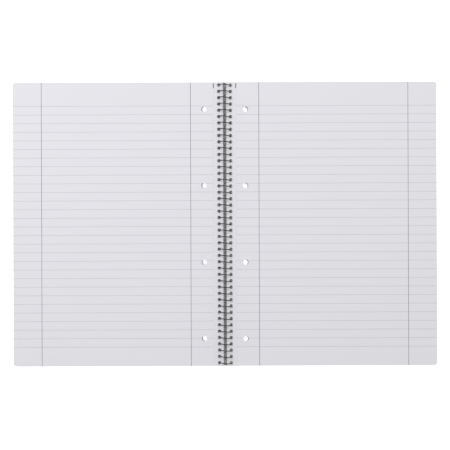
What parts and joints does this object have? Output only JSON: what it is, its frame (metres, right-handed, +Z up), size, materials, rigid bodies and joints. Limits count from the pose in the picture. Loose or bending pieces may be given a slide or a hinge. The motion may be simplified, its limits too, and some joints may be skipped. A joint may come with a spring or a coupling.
{
  "type": "spiral bound writing pad",
  "caption": "Ruled, punched A4 writing pad on a single wire coil, lying open flat, with a thin front cover and a stiff back board; every leaf turns about the coil.",
  "frame": {"origin": "on the table, under the middle of the spine", "axes": "+X across the pages to the right-hand page's outer edge, +Y along the spine to the top of the page, +Z up"},
  "size_m": [0.4434, 0.298, 0.0139],
  "materials": {
    "dark_wire": "satin",
    "cover_card": "semi-gloss print",
    "chipboard": "matte",
    "ruled_paper": "matte"
  },
  "bodies": {
    "coil": {"wire_coil": "dark_wire"},
    "front_cover": {"front_cover": "cover_card"},
    "left_block_3": {"left_sheets_7": "ruled_paper", "left_sheets_8": "ruled_paper", "left_sheets_9": "ruled_paper"},
    "left_block_2": {"left_sheets_4": "ruled_paper", "left_sheets_5": "ruled_paper", "left_sheets_6": "ruled_paper"},
    "left_block_1": {"left_sheets_1": "ruled_paper", "left_sheets_2": "ruled_paper", "left_sheets_3": "ruled_paper"},
    "left_leaf_06": {"left_leaf_06": "ruled_paper"},
    "left_leaf_05": {"left_leaf_05": "ruled_paper"},
    "left_leaf_04": {"left_leaf_04": "ruled_paper"},
    "left_leaf_03": {"left_leaf_03": "ruled_paper"},
    "left_leaf_02": {"left_leaf_02": "ruled_paper"},
    "left_leaf_01": {"left_leaf_01": "ruled_paper"},
    "back_board": {"back_board": "chipboard"},
    "right_block_3": {"right_sheets_7": "ruled_paper", "right_sheets_8": "ruled_paper"},
    "right_block_2": {"right_sheets_4": "ruled_paper", "right_sheets_5": "ruled_paper", "right_sheets_6": "ruled_paper"},
    "right_block_1": {"right_sheets_1": "ruled_paper", "right_sheets_2": "ruled_paper", "right_sheets_3": "ruled_paper"},
    "right_leaf_06": {"right_leaf_06": "ruled_paper"},
    "right_leaf_05": {"right_leaf_05": "ruled_paper"},
    "right_leaf_04": {"right_leaf_04": "ruled_paper"},
    "right_leaf_03": {"right_leaf_03": "ruled_paper"},
    "right_leaf_02": {"right_leaf_02": "ruled_paper"},
    "right_leaf_01": {"right_leaf_01": "ruled_paper"}
  },
  "joints": [
    {"name": "front_cover_turn", "type": "hinge", "parent": "coil", "child": "front_cover", "pos_m": [0, 0, 0.00722], "axis": [0, 1, 0], "range_deg": [-0.75, 180]},
    {"name": "left_block_3_turn", "type": "hinge", "parent": "front_cover", "child": "left_block_3", "pos_m": [0, 0, 0.00722], "axis": [0, 1, 0], "range_deg": [0, 180]},
    {"name": "left_block_2_turn", "type": "hinge", "parent": "left_block_3", "child": "left_block_2", "pos_m": [0, 0, 0.00722], "axis": [0, 1, 0], "range_deg": [0, 180]},
    {"name": "left_block_1_turn", "type": "hinge", "parent": "left_block_2", "child": "left_block_1", "pos_m": [0, 0, 0.00722], "axis": [0, 1, 0], "range_deg": [0, 180]},
    {"name": "left_leaf_06_turn", "type": "hinge", "parent": "left_block_1", "child": "left_leaf_06", "pos_m": [0, 0, 0.00722], "axis": [0, 1, 0], "range_deg": [0, 180]},
    {"name": "left_leaf_05_turn", "type": "hinge", "parent": "left_leaf_06", "child": "left_leaf_05", "pos_m": [0, 0, 0.00722], "axis": [0, 1, 0], "range_deg": [0, 180]},
    {"name": "left_leaf_04_turn", "type": "hinge", "parent": "left_leaf_05", "child": "left_leaf_04", "pos_m": [0, 0, 0.00722], "axis": [0, 1, 0], "range_deg": [0, 180]},
    {"name": "left_leaf_03_turn", "type": "hinge", "parent": "left_leaf_04", "child": "left_leaf_03", "pos_m": [0, 0, 0.00722], "axis": [0, 1, 0], "range_deg": [0, 180]},
    {"name": "left_leaf_02_turn", "type": "hinge", "parent": "left_leaf_03", "child": "left_leaf_02", "pos_m": [0, 0, 0.00722], "axis": [0, 1, 0], "range_deg": [0, 180]},
    {"name": "left_leaf_01_turn", "type": "hinge", "parent": "left_leaf_02", "child": "left_leaf_01", "pos_m": [0, 0, 0.00722], "axis": [0, 1, 0], "range_deg": [0, 180]},
    {"name": "back_board_turn", "type": "hinge", "parent": "coil", "child": "back_board", "pos_m": [0, 0, 0.00722], "axis": [0, -1, 0], "range_deg": [-0.75, 180]},
    {"name": "right_block_3_turn", "type": "hinge", "parent": "back_board", "child": "right_block_3", "pos_m": [0, 0, 0.00722], "axis": [0, -1, 0], "range_deg": [0, 180]},
    {"name": "right_block_2_turn", "type": "hinge", "parent": "right_block_3", "child": "right_block_2", "pos_m": [0, 0, 0.00722], "axis": [0, -1, 0], "range_deg": [0, 180]},
    {"name": "right_block_1_turn", "type": "hinge", "parent": "right_block_2", "child": "right_block_1", "pos_m": [0, 0, 0.00722], "axis": [0, -1, 0], "range_deg": [0, 180]},
    {"name": "right_leaf_06_turn", "type": "hinge", "parent": "right_block_1", "child": "right_leaf_06", "pos_m": [0, 0, 0.00722], "axis": [0, -1, 0], "range_deg": [0, 180]},
    {"name": "right_leaf_05_turn", "type": "hinge", "parent": "right_leaf_06", "child": "right_leaf_05", "pos_m": [0, 0, 0.00722], "axis": [0, -1, 0], "range_deg": [0, 180]},
    {"name": "right_leaf_04_turn", "type": "hinge", "parent": "right_leaf_05", "child": "right_leaf_04", "pos_m": [0, 0, 0.00722], "axis": [0, -1, 0], "range_deg": [0, 180]},
    {"name": "right_leaf_03_turn", "type": "hinge", "parent": "right_leaf_04", "child": "right_leaf_03", "pos_m": [0, 0, 0.00722], "axis": [0, -1, 0], "range_deg": [0, 180]},
    {"name": "right_leaf_02_turn", "type": "hinge", "parent": "right_leaf_03", "child": "right_leaf_02", "pos_m": [0, 0, 0.00722], "axis": [0, -1, 0], "range_deg": [0, 180]},
    {"name": "right_leaf_01_turn", "type": "hinge", "parent": "right_leaf_02", "child": "right_leaf_01", "pos_m": [0, 0, 0.00722], "axis": [0, -1, 0], "range_deg": [0, 180]}
  ]
}
